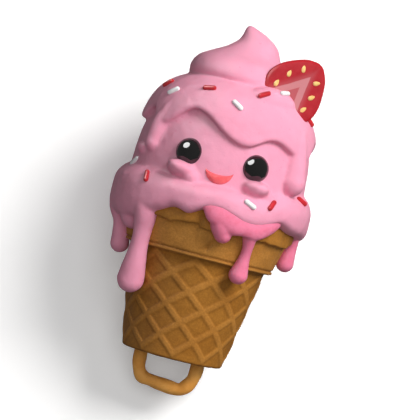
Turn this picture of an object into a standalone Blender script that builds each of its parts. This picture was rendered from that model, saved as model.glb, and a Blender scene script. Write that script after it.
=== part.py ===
"""Strawberry ice cream in a flat-bottomed wafer cone with a biscuit loop, lying on its back.

Everything is modelled standing, with +Z up the cone and -Y towards the shown side, and is then laid
down with the shown side up. Lengths are metres, and angles round the cone are degrees counted from
the front towards the right.
"""

import math
import random

import bmesh
import bpy
from mathutils import Matrix, Vector
from mathutils.bvhtree import BVHTree

# Wafer cone: a tapered cup with a waffle wall, a wider collar and a chunky lip
BASE_RADIUS = 0.0183
NECK_RADIUS = 0.0248
NECK_HEIGHT = 0.0366
COLLAR_FOOT_RADIUS = 0.0275
COLLAR_FOOT_HEIGHT = 0.0372
COLLAR_TOP_RADIUS = 0.0300
LIP_FOOT_HEIGHT = 0.0474
LIP_RADIUS = 0.0319
LIP_TOP_HEIGHT = 0.0520
LIP_INNER_RADIUS = 0.0284
WALL = 0.0025
FLOOR_THICKNESS = 0.0035
BASE_EDGE = 0.0008
LIP_WAVE = 0.0003
LIP_EDGE = [  # (angle, height) of the lip's broken lower edge
    (-180, 0.0476), (-150, 0.0486), (-120, 0.0474), (-80, 0.0482), (-45, 0.0488), (-28, 0.0476),
    (-6, 0.0468), (0, 0.0482), (25, 0.0490), (45, 0.0480), (65, 0.0474), (85, 0.0492),
    (110, 0.0484), (145, 0.0472), (180, 0.0476),
]

# Waffle pattern: diamonds in a lattice that is flat first and then wrapped round the wall
DIAMONDS_AROUND = 10
DIAMONDS_UP = 3
DIAMOND_HEIGHT = 0.01115
LATTICE_START = 0.0022
LATTICE_RADIUS = 0.0214
RIDGE_HALF_WIDTH = 0.0009
RIDGE_SLOPE = 0.0006
RIDGE_HEIGHT = 0.0005
LONG_EDGE = 0.0030

# Biscuit loop under the base: a hand-bent U whose ends sit in two sockets
LOOP_THICKNESS = 0.0048
LOOP_DEPTH = 0.0110
LOOP_HALF_WIDTH = 0.0105
SOCKET_DEPTH = 0.0022

# Ice cream
BODY_PROFILE = [  # (height, radius) up the middle of the scoop
    (0.0500, 0.0260), (0.0550, 0.0305), (0.0620, 0.0314), (0.0700, 0.0313), (0.0760, 0.0308),
    (0.0810, 0.0298), (0.0850, 0.0284), (0.0900, 0.0262), (0.0950, 0.0225), (0.0990, 0.0160),
    (0.1005, 0.0080), (0.1010, 0.0000),
]
CAP_PROFILE = [  # (height, radius) of the layer that has run down over the scoop
    (0.0760, 0.0330), (0.0800, 0.0327), (0.0840, 0.0318), (0.0880, 0.0308), (0.0920, 0.0290),
    (0.0955, 0.0264), (0.0985, 0.0228), (0.1010, 0.0180), (0.1022, 0.0100), (0.1025, 0.0000),
]
CAP_EDGE = [  # (angle, height) of the crests and troughs of the cap's wavy lower edge
    (-180, 0.0800), (-152, 0.0865), (-126, 0.0795), (-101, 0.0862), (-78, 0.0810), (-58, 0.0780),
    (-26, 0.0872), (11, 0.0786), (32, 0.0830), (59, 0.0785), (79, 0.0845), (104, 0.0800),
    (131, 0.0868), (156, 0.0805), (180, 0.0800),
]
TIER_PROFILE = [  # (height, radius, shift to the right, shift to the front) of the swirl on top
    (0.0950, 0.0120, -0.0010, 0.000), (0.0985, 0.0170, -0.0016, 0.000),
    (0.1015, 0.0186, -0.0014, 0.001), (0.1048, 0.0182, -0.0010, 0.001),
    (0.1080, 0.0162, -0.0006, 0.001), (0.1105, 0.0132, 0.0000, 0.000),
    (0.1130, 0.0100, 0.0012, 0.000), (0.1160, 0.0074, 0.0020, 0.000),
    (0.1188, 0.0052, 0.0010, 0.000), (0.1210, 0.0030, -0.0008, 0.000),
    (0.1226, 0.0000, -0.0024, 0.000),
]
SKIRT_RADIUS = 0.0275
SKIRT_THICKNESS = 0.0085
SKIRT_TOP = 0.0085
SKIRT_EDGE = [  # (angle, middle height, height of the lower edge) of the roll over the lip
    (-180, 0.0580, 0.0510), (-150, 0.0582, 0.0522), (-120, 0.0576, 0.0500), (-98, 0.0568, 0.0482),
    (-80, 0.0564, 0.0464), (-62, 0.0562, 0.0458), (-50, 0.0564, 0.0466), (-41, 0.0568, 0.0488),
    (-30, 0.0570, 0.0512), (-10, 0.0573, 0.0522), (10, 0.0576, 0.0530), (35, 0.0582, 0.0534),
    (58, 0.0592, 0.0532), (78, 0.0600, 0.0520), (100, 0.0598, 0.0512), (130, 0.0590, 0.0522),
    (155, 0.0582, 0.0505), (180, 0.0580, 0.0510),
]
CHEEKS = ((-0.0132, 0.0656), (0.0140, 0.0650))
SHOULDER_LUMP = (0.0125, -0.0165, 0.0975)
CREAM_DRIPS = [  # each is a list of (angle, radius, height, thickness radius), top to bottom
    [(56, 0.0305, 0.0850, 0.0040), (55, 0.0310, 0.0770, 0.0038), (54, 0.0314, 0.0702, 0.0040)],
    [(-60, 0.0308, 0.0830, 0.0030), (-61, 0.0312, 0.0780, 0.0030), (-62, 0.0316, 0.0735, 0.0030)],
    [(-78, 0.0290, 0.0590, 0.0060), (-79, 0.0318, 0.0500, 0.0042), (-80, 0.0296, 0.0425, 0.0032),
     (-80, 0.0285, 0.0350, 0.0035)],
    [(-52, 0.0290, 0.0590, 0.0060), (-44, 0.0314, 0.0500, 0.0050), (-44, 0.0303, 0.0420, 0.0034),
     (-46, 0.0290, 0.0330, 0.0035), (-50, 0.0272, 0.0238, 0.0046)],
    [(-65, 0.0285, 0.0590, 0.0075), (-64, 0.0290, 0.0515, 0.0064), (-62, 0.0286, 0.0460, 0.0050)],
    [(138, 0.0330, 0.0590, 0.0060), (139, 0.0330, 0.0505, 0.0038), (140, 0.0306, 0.0435, 0.0032)],
    [(-130, 0.0330, 0.0590, 0.0060), (-129, 0.0330, 0.0505, 0.0036), (-128, 0.0303, 0.0405, 0.0033)],
]
CREAM_VOXEL = 0.0009
CREAM_TRIANGLES = 3500

# Strawberry sauce that has run out under the ice cream and over the collar
SAUCE_BAND = [  # (angle, radius, height, thickness radius)
    (-8, 0.0330, 0.0536, 0.0012), (0, 0.0330, 0.0522, 0.0022), (12, 0.0328, 0.0507, 0.0030),
    (30, 0.0326, 0.0506, 0.0030), (44, 0.0322, 0.0518, 0.0028), (54, 0.0314, 0.0538, 0.0024),
    (72, 0.0308, 0.0560, 0.0024), (92, 0.0310, 0.0550, 0.0026),
]
SAUCE_DRIPS = [
    [(13, 0.0318, 0.0510, 0.0038), (13.5, 0.0312, 0.0470, 0.0030)],
    [(31, 0.0320, 0.0510, 0.0034), (31, 0.0312, 0.0455, 0.0020), (30.5, 0.0300, 0.0410, 0.0020),
     (29, 0.0288, 0.0345, 0.0035)],
    [(92, 0.0315, 0.0550, 0.0030), (94, 0.0318, 0.0490, 0.0024), (96, 0.0314, 0.0425, 0.0033)],
]
SAUCE_VOXEL = 0.0007
SAUCE_TRIANGLES = 800

# Strawberry slice: outline from the stem end to the tip, (half width, distance from the stem end)
BERRY_OUTLINE = [
    (0.0000, 0.0000), (0.0062, 0.0012), (0.0103, 0.0053), (0.0115, 0.0096), (0.0102, 0.0148),
    (0.0060, 0.0212), (0.0025, 0.0240), (0.0000, 0.0248),
]
BERRY_THICKNESS = 0.0032
BERRY_BASE = (0.01245, -0.0165, 0.0938)
BERRY_LEAN = 35.3
BERRY_TURN = 20
BERRY_TILT_BACK = 6
BERRY_SEEDS = [(0.0078, 0.0090), (0.0064, 0.0140), (0.0033, 0.0185)]

# Candy on the front: two round beads and a crescent of jelly
BEAD_RADIUS = 0.0050
BEAD_X = 0.0116
BEAD_HEIGHT = 0.0722
BEAD_DEPTH = 0.0296
CRESCENT_HALF_WIDTH = 0.0050
CRESCENT_HEIGHT = 0.0688
CRESCENT_DROP = 0.0052
CRESCENT_DIP = 0.0018
CRESCENT_THICKNESS = 0.0026
CRESCENT_DEPTH = 0.0310

# Sugar strands
STRAND_LENGTH = 0.0050
STRAND_RADIUS = 0.0009
SHOWN_STRANDS = [  # (to the right, height, turn in the front view)
    (-0.0253, 0.0942, 45), (-0.0226, 0.0917, 41), (-0.0106, 0.0955, 15), (0.0084, 0.0981, 32),
    (0.0003, 0.0920, -35), (-0.0298, 0.0645, 45), (-0.0241, 0.0603, -65), (0.0131, 0.0596, -26),
    (0.0206, 0.0612, 55), (0.0308, 0.0653, -34), (0.0160, 0.1012, 15), (0.0272, 0.0925, -60),
]
HIDDEN_STRANDS = 9
STRAND_SEED = 7

# How it lies
LIE_ANGLE = 15.5
FLOOR_AT_BASE = 0.0185
GAP = 0.0003


def around(angle, radius, height):
    """The point at this angle round the cone, counted from the front towards the right."""
    turn = math.radians(angle)
    return Vector((radius * math.sin(turn), -radius * math.cos(turn), height))


def angle_of(point):
    return math.degrees(math.atan2(point.x, -point.y))


def smoothly_between(table, x):
    """The other columns of a sorted table at x, by a smooth curve through its rows."""
    rows = [row for row in table]
    x = min(max(x, rows[0][0]), rows[-1][0])
    last = max(i for i, row in enumerate(rows[:-1]) if row[0] <= x)
    before, a, b, after = (rows[min(max(i, 0), len(rows) - 1)] for i in range(last - 1, last + 3))
    t = (x - a[0]) / (b[0] - a[0])
    found = []
    for column in range(1, len(a)):
        p0, p1, p2, p3 = (row[column] for row in (before, a, b, after))
        found.append(0.5 * (2 * p1 + (p2 - p0) * t + (2 * p0 - 5 * p1 + 4 * p2 - p3) * t ** 2
                            + (3 * p1 - 3 * p2 + p3 - p0) * t ** 3))
    return found


def wave_between(table, angle):
    """The edge height at an angle: a cosine from each crest or trough to the next."""
    for (a, low), (b, high) in zip(table, table[1:]):
        if a <= angle <= b:
            share = (1 - math.cos(math.pi * (angle - a) / (b - a))) / 2
            return low + (high - low) * share
    return table[-1][1]


def along(profile, share):
    """The row of a profile a share of the way up it, counted in rows."""
    numbered = [(i / (len(profile) - 1), *row) for i, row in enumerate(profile)]
    return smoothly_between(numbered, share)


def face_outwards(bm):
    bmesh.ops.recalc_face_normals(bm, faces=bm.faces)
    if bm.calc_volume(signed=True) < 0:
        bmesh.ops.reverse_faces(bm, faces=bm.faces)


def new_object(name, bm, collection):
    mesh = bpy.data.meshes.new(name)
    bm.to_mesh(mesh)
    bm.free()
    obj = bpy.data.objects.new(name, mesh)
    collection.objects.link(obj)
    return obj


def material(name, colour, roughness):
    made = bpy.data.materials.new(name)
    made.use_nodes = True
    shader = made.node_tree.nodes["Principled BSDF"]
    shader.inputs["Base Color"].default_value = (*colour, 1)
    shader.inputs["Roughness"].default_value = roughness
    shader.inputs["Metallic"].default_value = 0
    return made


def evaluated_mesh(obj):
    """A new mesh of the object as its modifiers leave it."""
    bpy.context.view_layer.update()
    graph = bpy.context.evaluated_depsgraph_get()
    return bpy.data.meshes.new_from_object(obj.evaluated_get(graph))


def baked(obj):
    """Replaces the object's mesh by the evaluated one, and drops its modifiers."""
    mesh = evaluated_mesh(obj)
    obj.modifiers.clear()
    obj.data = mesh
    return obj


def curve_as_mesh(curve_obj, collection):
    """The curve object made a closed mesh object of the same name, with its caps welded."""
    mesh = evaluated_mesh(curve_obj)
    bm = bmesh.new()
    bm.from_mesh(mesh)
    bmesh.ops.remove_doubles(bm, verts=bm.verts, dist=1e-6)
    bm.to_mesh(mesh)
    bm.free()
    name = curve_obj.name
    bpy.data.objects.remove(curve_obj)
    obj = bpy.data.objects.new(name, mesh)
    collection.objects.link(obj)
    return obj


def cut(obj, cutter, operation="DIFFERENCE"):
    boolean = obj.modifiers.new(cutter.name, "BOOLEAN")
    boolean.operation = operation
    boolean.solver = "MANIFOLD"
    boolean.object = cutter


def hide_cutter(obj):
    obj.hide_render = True
    obj.display_type = "WIRE"
    return obj


def keep_largest_piece(obj):
    """Drops the loose scraps that a cut leaves."""
    bm = bmesh.new()
    bm.from_mesh(obj.data)
    bm.verts.ensure_lookup_table()
    unseen, pieces = set(bm.verts), []
    while unseen:
        front = [unseen.pop()]
        piece = set(front)
        while front:
            for edge in front.pop().link_edges:
                for vert in edge.verts:
                    if vert in unseen:
                        unseen.remove(vert)
                        piece.add(vert)
                        front.append(vert)
        pieces.append(piece)
    pieces.sort(key=len)
    scraps = [vert for piece in pieces[:-1] for vert in piece]
    bmesh.ops.delete(bm, geom=scraps, context="VERTS")
    bm.to_mesh(obj.data)
    bm.free()


def cone_radius(height):
    """The plain wall's outer radius, between the waffle's ridges."""
    return BASE_RADIUS + (NECK_RADIUS - BASE_RADIUS) * height / NECK_HEIGHT


# Wafer cone
def waffle_sheet():
    """A flat sheet of diamonds, x round the wall and y up it, each inset to leave raised ridges."""
    bm = bmesh.new()
    pitch = 2 * math.pi * LATTICE_RADIUS / DIAMONDS_AROUND
    half = DIAMOND_HEIGHT / 2
    for row in range(2 * DIAMONDS_UP + 1):
        y = LATTICE_START + row * half
        for i in range(DIAMONDS_AROUND):
            x = (i + (0 if row % 2 else 0.5)) * pitch
            corners = ((x - pitch / 2, y), (x, y - half), (x + pitch / 2, y), (x, y + half))
            bm.faces.new([bm.verts.new((*corner, 0)) for corner in corners])
    bmesh.ops.remove_doubles(bm, verts=bm.verts, dist=1e-5)
    cells = bm.faces[:]
    bmesh.ops.inset_individual(bm, faces=cells, thickness=RIDGE_HALF_WIDTH, use_even_offset=True)
    bmesh.ops.inset_individual(bm, faces=cells, thickness=RIDGE_SLOPE, depth=-RIDGE_HEIGHT,
                               use_even_offset=True)
    long_edges = [edge for edge in bm.edges if edge.calc_length() > LONG_EDGE]
    bmesh.ops.subdivide_edges(bm, edges=long_edges, cuts=1, use_grid_fill=True)
    low = LATTICE_START - RIDGE_HALF_WIDTH
    high = LATTICE_START + DIAMONDS_UP * DIAMOND_HEIGHT + RIDGE_HALF_WIDTH
    for height, side in ((low, -1), (high, 1)):
        bmesh.ops.bisect_plane(bm, geom=bm.verts[:] + bm.edges[:] + bm.faces[:], dist=1e-6,
                               plane_co=(0, height, 0), plane_no=(0, side, 0), clear_outer=True)
        rim = [vert for vert in bm.verts if abs(vert.co.y - height) < 1e-6]
        bmesh.ops.remove_doubles(bm, verts=rim, dist=2.5 * RIDGE_SLOPE)
    return bm


def wrap(bm):
    """Bends the flat sheet round the tapered wall and closes its seam."""
    for vert in bm.verts:
        x, y, z = vert.co
        angle = math.degrees(x / LATTICE_RADIUS)
        vert.co = around(angle, cone_radius(y) + RIDGE_HEIGHT + z, y)
    bmesh.ops.remove_doubles(bm, verts=bm.verts, dist=1e-5)


def extrude_ring(bm, ring, radius, height, broken=0.0):
    """Carries a boundary ring on to a new radius and height, which follows the lip where broken."""
    made = bmesh.ops.extrude_edge_only(bm, edges=ring)["geom"]
    for vert in (g for g in made if isinstance(g, bmesh.types.BMVert)):
        angle = angle_of(vert.co)
        turn = math.radians(angle)
        ripple = LIP_WAVE * (math.sin(3 * turn + 0.6) + 0.6 * math.sin(7 * turn) + math.sin(11 * turn + 2))
        rise = wave_between(LIP_EDGE, angle) - LIP_FOOT_HEIGHT
        vert.co = around(angle, radius + 0.5 * broken * ripple, height + broken * (ripple + rise))
    return [g for g in made if isinstance(g, bmesh.types.BMEdge)]


def make_cone(collection):
    bm = waffle_sheet()
    wrap(bm)
    ends = [edge for edge in bm.edges if edge.is_boundary]
    lower = [edge for edge in ends if edge.verts[0].co.z < NECK_HEIGHT / 2]
    upper = [edge for edge in ends if edge.verts[0].co.z > NECK_HEIGHT / 2]
    for radius, height in ((cone_radius(BASE_EDGE), BASE_EDGE), (BASE_RADIUS - BASE_EDGE, 0.0)):
        lower = extrude_ring(bm, lower, radius, height)
    bmesh.ops.contextual_create(bm, geom=lower)
    bead = 0.0009
    lip_height = LIP_TOP_HEIGHT - LIP_FOOT_HEIGHT
    outside = [
        (NECK_RADIUS, COLLAR_FOOT_HEIGHT, 0), (COLLAR_FOOT_RADIUS, COLLAR_FOOT_HEIGHT, 0),
        (COLLAR_FOOT_RADIUS, COLLAR_FOOT_HEIGHT + bead, 0),
        (COLLAR_FOOT_RADIUS - 0.0002, COLLAR_FOOT_HEIGHT + 1.4 * bead, 0),
        (COLLAR_TOP_RADIUS, LIP_FOOT_HEIGHT - 0.0002, 1),
        (LIP_RADIUS - 0.0003, LIP_FOOT_HEIGHT + 0.1 * lip_height, 1),
        (LIP_RADIUS, LIP_FOOT_HEIGHT + 0.75 * lip_height, 0.3),
        (LIP_RADIUS - 0.0007, LIP_TOP_HEIGHT, 0.3),
    ]
    inside = [
        (LIP_INNER_RADIUS, LIP_TOP_HEIGHT, 0),
        (COLLAR_FOOT_RADIUS - WALL, COLLAR_FOOT_HEIGHT, 0),
        (NECK_RADIUS - WALL, NECK_HEIGHT - WALL, 0),
        (cone_radius(FLOOR_THICKNESS) - WALL, FLOOR_THICKNESS, 0),
    ]
    for radius, height, broken in outside + inside:
        upper = extrude_ring(bm, upper, radius, height, broken)
    bmesh.ops.contextual_create(bm, geom=upper)
    face_outwards(bm)
    return new_object("wafer_cone", bm, collection)


def make_room_for_cone(cutters):
    """The cone's outside and inside set off by the gap, to cut what wraps over its lip."""
    proud = RIDGE_HEIGHT + GAP
    low_lip = min(height for _, height in LIP_EDGE)
    ripple = 3 * LIP_WAVE
    profile = [
        (COLLAR_FOOT_RADIUS + GAP, COLLAR_FOOT_HEIGHT - GAP),
        (COLLAR_FOOT_RADIUS + GAP, COLLAR_FOOT_HEIGHT + 0.0012),
        (COLLAR_TOP_RADIUS + GAP, low_lip - 2 * ripple),
        (LIP_RADIUS + GAP, low_lip - ripple),
        (LIP_RADIUS + 2 * GAP, LIP_TOP_HEIGHT),
        (LIP_RADIUS - 0.0003, LIP_TOP_HEIGHT + ripple),
        (LIP_INNER_RADIUS - GAP, LIP_TOP_HEIGHT + ripple),
        (COLLAR_FOOT_RADIUS - WALL - GAP, COLLAR_FOOT_HEIGHT),
        (NECK_RADIUS - WALL - GAP, NECK_HEIGHT - WALL),
        (cone_radius(FLOOR_THICKNESS) - WALL - GAP, FLOOR_THICKNESS + GAP),
        (0, FLOOR_THICKNESS + GAP), (0, -GAP), (BASE_RADIUS + proud, -GAP),
        (NECK_RADIUS + proud, COLLAR_FOOT_HEIGHT - GAP),
    ]
    bm = bmesh.new()
    verts = [bm.verts.new((radius, 0, height)) for radius, height in profile]
    for a, b in zip(verts, verts[1:] + verts[:1]):
        if a.co.x > 0 or b.co.x > 0:
            bm.edges.new((a, b))
    bmesh.ops.spin(bm, geom=bm.verts[:] + bm.edges[:], cent=(0, 0, 0), axis=(0, 0, 1),
                   angle=2 * math.pi, steps=48)
    bmesh.ops.remove_doubles(bm, verts=bm.verts, dist=1e-6)
    face_outwards(bm)
    return hide_cutter(new_object("room_for_cone", bm, cutters))


# Biscuit loop
def loop_path():
    """The bent U, from the left socket down and round to the right one."""
    steps = 20
    for i in range(steps + 1):
        turn = math.pi * (1 + i / steps)
        squared = 0.62
        x = math.copysign(abs(math.cos(turn)) ** squared, math.cos(turn)) * LOOP_HALF_WIDTH
        z = -abs(math.sin(turn)) ** squared * LOOP_DEPTH
        hand_bent = 0.0005 * math.sin(5 * turn + 1)
        yield Vector((x * (1 - 0.05 * x / LOOP_HALF_WIDTH), 0, z + hand_bent * math.sin(turn)))


def make_loop(collection):
    points = list(loop_path())
    top = SOCKET_DEPTH
    points = [Vector((points[0].x, 0, top))] + points + [Vector((points[-1].x, 0, top))]
    return tube("biscuit_loop", [(point, LOOP_THICKNESS / 2) for point in points], 2, collection)


def tube(name, points, resolution, collection):
    """A round-sectioned curve through (point, radius) pairs, as a closed mesh."""
    curve = bpy.data.curves.new(name, "CURVE")
    curve.dimensions = "3D"
    curve.bevel_depth = 1.0
    curve.bevel_resolution = resolution
    curve.use_fill_caps = True
    spline = curve.splines.new("POLY")
    spline.points.add(len(points) - 1)
    for place, (point, radius) in zip(spline.points, points):
        place.co = (*point, 1)
        place.radius = radius
    obj = bpy.data.objects.new(name, curve)
    collection.objects.link(obj)
    return curve_as_mesh(obj, collection)


def make_sockets(cutters):
    ends = [point.x for point in loop_path()]
    bm = bmesh.new()
    for x in (ends[0], ends[-1]):
        depth = 2 * (SOCKET_DEPTH + GAP)
        bmesh.ops.create_cone(bm, cap_ends=True, segments=16, depth=depth,
                              radius1=LOOP_THICKNESS / 2 + 2 * GAP, radius2=LOOP_THICKNESS / 2 + 2 * GAP,
                              matrix=Matrix.Translation((x, 0, 0)))
    return hide_cutter(new_object("sockets", bm, cutters))


# Soft shapes that melt into one another
def blob(profile_point, segments=72, rings=28):
    """A closed round form from a sphere, whose points go where profile_point(angle, share up) says."""
    bm = bmesh.new()
    bmesh.ops.create_uvsphere(bm, u_segments=segments, v_segments=rings, radius=1)
    for vert in bm.verts:
        share = 0.5 + math.asin(max(-1.0, min(1.0, vert.co.z))) / math.pi
        vert.co = profile_point(angle_of(vert.co), share)
    return bm


def body_point(angle, share):
    if share < 0.15:
        return around(angle, BODY_PROFILE[0][1] * share / 0.15, BODY_PROFILE[0][0])
    height, radius = along(BODY_PROFILE, (share - 0.15) / 0.85)
    return around(angle, radius, height)


def cap_point(angle, share):
    edge = wave_between(CAP_EDGE, angle)
    under = 0.25
    if share < under:
        inward = share / under
        return around(angle, 0.0290 * inward, 0.0860 + (edge - 0.0860) * inward ** 2)
    up = (share - under) / (1 - under)
    height = edge + (CAP_PROFILE[-1][0] - edge) * math.sin(up * math.pi / 2)
    radius = smoothly_between(CAP_PROFILE, height)[0]
    rounding = 0.0022 * math.exp(-((height - edge) / 0.0012))
    return around(angle, radius - rounding, height)


def tier_point(angle, share):
    height, radius, right, front = along(TIER_PROFILE, share)
    swirl = 1 + 0.035 * math.sin(math.radians(angle) + 260 * height)
    return around(angle, radius * swirl, height) + Vector((right, -front, 0))


def skirt():
    """The thick wavy roll that bulges over the lip."""
    bm = bmesh.new()
    major, minor = 90, 20
    for i in range(major):
        angle = 360 * i / major - 180
        turn = math.radians(angle)
        middle, edge = smoothly_between(SKIRT_EDGE, angle)
        drop = (middle - edge) / 0.9
        swell = 1 + 0.04 * math.sin(4 * turn + 0.5) + 0.03 * math.sin(7 * turn + 1)
        ring = []
        for j in range(minor):
            roll = 2 * math.pi * j / minor
            square = 0.5 if math.sin(roll) < 0 else 1.0
            out = math.copysign(abs(math.cos(roll)) ** square, math.cos(roll)) * SKIRT_THICKNESS
            up = math.copysign(abs(math.sin(roll)) ** square, math.sin(roll))
            height = middle + up * (drop if up < 0 else SKIRT_TOP)
            ring.append(bm.verts.new(around(angle, SKIRT_RADIUS + out * swell, height)))
        for a, b in zip(ring, ring[1:] + ring[:1]):
            bm.edges.new((a, b))
    bmesh.ops.bridge_loops(bm, edges=bm.edges[:], use_cyclic=True)
    face_outwards(bm)
    return bm


def plug():
    """The ice cream inside the cone, down to its floor."""
    bm = bmesh.new()
    low = FLOOR_THICKNESS + GAP
    inner_low = cone_radius(FLOOR_THICKNESS) - WALL
    bmesh.ops.create_cone(bm, cap_ends=True, segments=48, radius1=inner_low, radius2=0.0288,
                          depth=0.0530 - low, matrix=Matrix.Translation((0, 0, (0.0530 + low) / 2)))
    return bm


def drip_line(drip):
    """(point, radius) pairs down a drip: a smooth line through its rows, with a round end."""
    numbered = [(i, *row) for i, row in enumerate(drip)]
    steps = 5 * (len(drip) - 1)
    line = []
    for k in range(steps + 1):
        angle, radius, height, thickness = smoothly_between(numbered, k * (len(drip) - 1) / steps)
        line.append((around(angle, radius, height), thickness))
    end, thickness = line[-1]
    heading = (end - line[-2][0]).normalized()
    for share in (0.4, 0.7, 0.9, 0.99):
        line.append((end + heading * thickness * share, thickness * math.sqrt(1 - share ** 2)))
    return line


def drip_mesh(drip, collection):
    obj = tube("drip", drip_line(drip), 3, collection)
    bm = bmesh.new()
    bm.from_mesh(obj.data)
    bpy.data.objects.remove(obj)
    return bm


def pillow(centre, half_width, half_height, half_depth):
    """A rounded lump that faces outwards from the middle of the scoop."""
    bm = bmesh.new()
    place = Matrix.Translation(centre) @ Matrix.Rotation(math.radians(angle_of(centre)), 4, "Z")
    size = Matrix.Diagonal((half_width, half_depth, half_height, 1))
    bmesh.ops.create_uvsphere(bm, u_segments=20, v_segments=12, radius=1, matrix=place @ size)
    return bm


def on_scoop(x, height, radius):
    """The point of the shown side at this x and height, and this far from the middle."""
    return Vector((x, -math.sqrt(radius ** 2 - x ** 2), height))


def melted(name, shapes, voxel, smoothing, triangles, collection):
    """Melts overlapping closed shapes into one skin, softens it and thins it to about so many triangles."""
    whole = bmesh.new()
    for shape in shapes:
        mesh = bpy.data.meshes.new("shape")
        shape.to_mesh(mesh)
        shape.free()
        whole.from_mesh(mesh)
        bpy.data.meshes.remove(mesh)
    obj = new_object(name, whole, collection)
    remesh = obj.modifiers.new("melt", "REMESH")
    remesh.mode = "VOXEL"
    remesh.voxel_size = voxel
    soften = obj.modifiers.new("soften", "SMOOTH")
    soften.factor = 0.5
    soften.iterations = smoothing
    baked(obj)
    thin = obj.modifiers.new("thin", "DECIMATE")
    thin.ratio = triangles / (2 * len(obj.data.polygons))
    return baked(obj)


def grown(obj, name, distance, cutters):
    """A copy of a smooth shape, grown outwards by a distance, as a cutter."""
    copy = bpy.data.objects.new(name, obj.data.copy())
    cutters.objects.link(copy)
    swell = copy.modifiers.new("grow", "DISPLACE")
    swell.strength = distance
    swell.mid_level = 0
    return hide_cutter(baked(copy))


def cream_shapes(collection):
    shapes = [blob(body_point), blob(cap_point, 120, 40), blob(tier_point), skirt(), plug()]
    shapes += [drip_mesh(drip, collection) for drip in CREAM_DRIPS]
    for x, height in CHEEKS:
        shapes.append(pillow(on_scoop(x, height, 0.0308), 0.0060, 0.0044, 0.0046))
    shapes.append(pillow(around(-70, 0.0312, 0.0700), 0.0040, 0.0030, 0.0025))
    shapes.append(pillow(Vector(SHOULDER_LUMP), 0.0100, 0.0062, 0.0065))
    return shapes


def sauce_shapes(collection):
    return [drip_mesh(line, collection) for line in [SAUCE_BAND, *SAUCE_DRIPS]]


# Toppings
def berry_matrix():
    lean = Matrix.Rotation(math.radians(BERRY_LEAN), 4, "Y")
    tilt = Matrix.Rotation(math.radians(-BERRY_TILT_BACK), 4, "X")
    turn = Matrix.Rotation(math.radians(BERRY_TURN), 4, "Z")
    upright = Matrix.Rotation(math.radians(90), 4, "X")
    return Matrix.Translation(BERRY_BASE) @ turn @ tilt @ lean @ upright


def smooth_loop(points, steps):
    """A closed smooth curve through the points, as steps points to each of them."""
    count = len(points)
    for i in range(count):
        p0, p1, p2, p3 = (Vector(points[(i + k) % count]) for k in (-1, 0, 1, 2))
        for k in range(steps):
            t = k / steps
            yield 0.5 * (2 * p1 + (p2 - p0) * t + (2 * p0 - 5 * p1 + 4 * p2 - p3) * t ** 2
                         + (3 * p1 - 3 * p2 + p3 - p0) * t ** 3)


def berry_plate(growth=0.0):
    """The slice lying flat, x across and y from stem end to tip, with rounded edges."""
    half = BERRY_THICKNESS / 2 + growth
    left = [(-x, y) for x, y in reversed(BERRY_OUTLINE[1:-1])]
    outline = list(smooth_loop(BERRY_OUTLINE + left, 2))
    count = len(outline)
    bm = bmesh.new()
    rings = []
    for inward, height in ((0.0008, half), (0, half - 0.0007), (0, 0.0007 - half), (0.0008, -half)):
        ring = []
        for i, place in enumerate(outline):
            ahead = outline[(i + 1) % count] - outline[i - 1]
            outwards = Vector((ahead.y, -ahead.x)).normalized()
            x, y = place + outwards * (growth - inward)
            ring.append(bm.verts.new((x, y, height)))
        rings.append(ring)
    for upper, lower in zip(rings, rings[1:]):
        for i in range(count):
            j = (i + 1) % count
            bm.faces.new((upper[i], upper[j], lower[j], lower[i]))
    for ring, height in ((rings[0], half), (rings[-1], -half)):
        middle = bm.verts.new((0, 0.0125, height))
        for i in range(count):
            bm.faces.new((ring[i], ring[(i + 1) % count], middle))
    face_outwards(bm)
    return bm


def make_berry(collection, cutters):
    """A slice cut along a strawberry, with its seeds, and the room it needs in the ice cream."""
    berry = new_object("strawberry_slice", berry_plate(), collection)
    seeds = bmesh.new()
    for x, y in BERRY_SEEDS:
        for side in (-1, 1):
            place = Matrix.Translation((side * x, y, BERRY_THICKNESS / 2))
            turn = Matrix.Rotation(side * math.radians(-25), 4, "Z")
            size = Matrix.Diagonal((0.0007, 0.0013, 0.0005, 1))
            bmesh.ops.create_uvsphere(seeds, u_segments=6, v_segments=4, radius=1,
                                      matrix=place @ turn @ size)
    seeds_obj = new_object("seeds", seeds, collection)
    cut(berry, seeds_obj, "UNION")
    baked(berry)
    bpy.data.objects.remove(seeds_obj)
    berry.data.transform(berry_matrix())
    room = hide_cutter(new_object("room_for_slice", berry_plate(GAP), cutters))
    room.data.transform(berry_matrix())
    return berry, room


def make_bead(name, side, collection):
    bm = bmesh.new()
    bmesh.ops.create_uvsphere(bm, u_segments=12, v_segments=9, radius=BEAD_RADIUS)
    bmesh.ops.translate(bm, verts=bm.verts, vec=bead_centre(side))
    return new_object(name, bm, collection)


def bead_centre(side):
    return on_scoop(side * BEAD_X, BEAD_HEIGHT, BEAD_DEPTH)


def make_crescent(collection):
    """A crescent of jelly with its horns up, bent to the scoop."""
    bm = bmesh.new()
    bmesh.ops.create_uvsphere(bm, u_segments=8, v_segments=14, radius=1,
                              matrix=Matrix.Rotation(math.radians(90), 4, "Y"))
    for vert in bm.verts:
        share, out, up = vert.co
        bow = math.sqrt(max(0.0, 1 - share ** 2))
        rise = -(CRESCENT_DROP + CRESCENT_DIP) / 2 * bow + up * (CRESCENT_DROP - CRESCENT_DIP) / 2
        bend = math.degrees(share * CRESCENT_HALF_WIDTH / CRESCENT_DEPTH)
        vert.co = around(bend, CRESCENT_DEPTH + out * CRESCENT_THICKNESS / 2, CRESCENT_HEIGHT + rise)
    face_outwards(bm)
    return new_object("jelly_crescent", bm, collection)


def strand_mesh(bm, matrix):
    """A short rod with round ends, half sunk in what carries it."""
    made = bmesh.ops.create_uvsphere(bm, u_segments=6, v_segments=5, radius=STRAND_RADIUS)["verts"]
    for vert in made:
        vert.co.z += math.copysign(STRAND_LENGTH / 2 - STRAND_RADIUS, vert.co.z)
    bmesh.ops.transform(bm, verts=made, matrix=matrix)


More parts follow.
